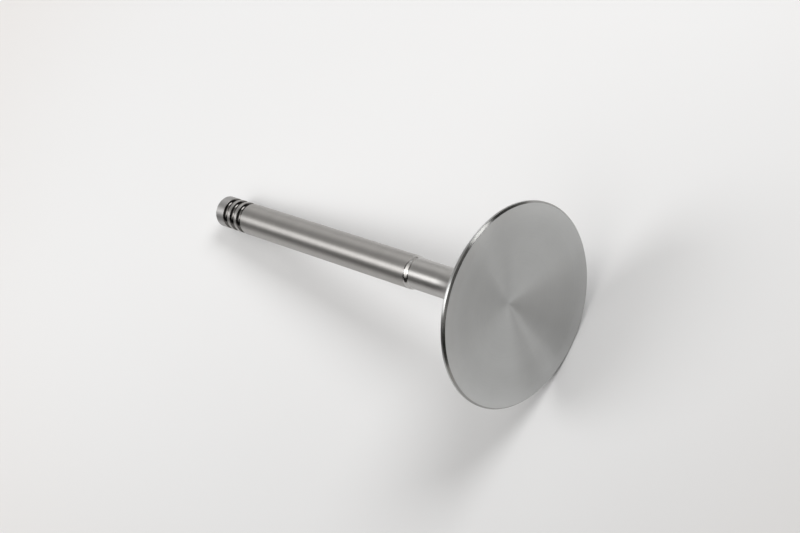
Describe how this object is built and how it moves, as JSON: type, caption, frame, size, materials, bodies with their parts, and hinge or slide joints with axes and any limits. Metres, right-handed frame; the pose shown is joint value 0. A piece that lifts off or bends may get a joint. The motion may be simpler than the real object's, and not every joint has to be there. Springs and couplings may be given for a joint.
{
  "type": "engine valve",
  "caption": "One-piece poppet valve with a shallow dished head, seat and margin, undercut lower stem, ground stem and round-bottomed keeper grooves.",
  "frame": {"origin": "centre of the head's face, in the plane of the flat ring round the dish", "axes": "+Z along the stem from the face to the tip; the valve is a body of revolution, so +X and +Y are free"},
  "size_m": [0.046, 0.046, 0.1015],
  "materials": {
    "steel": "turned on the face and back of the head, ground on the stem and seat"
  },
  "bodies": {
    "root": {"valve": "steel"}
  },
  "joints": []
}
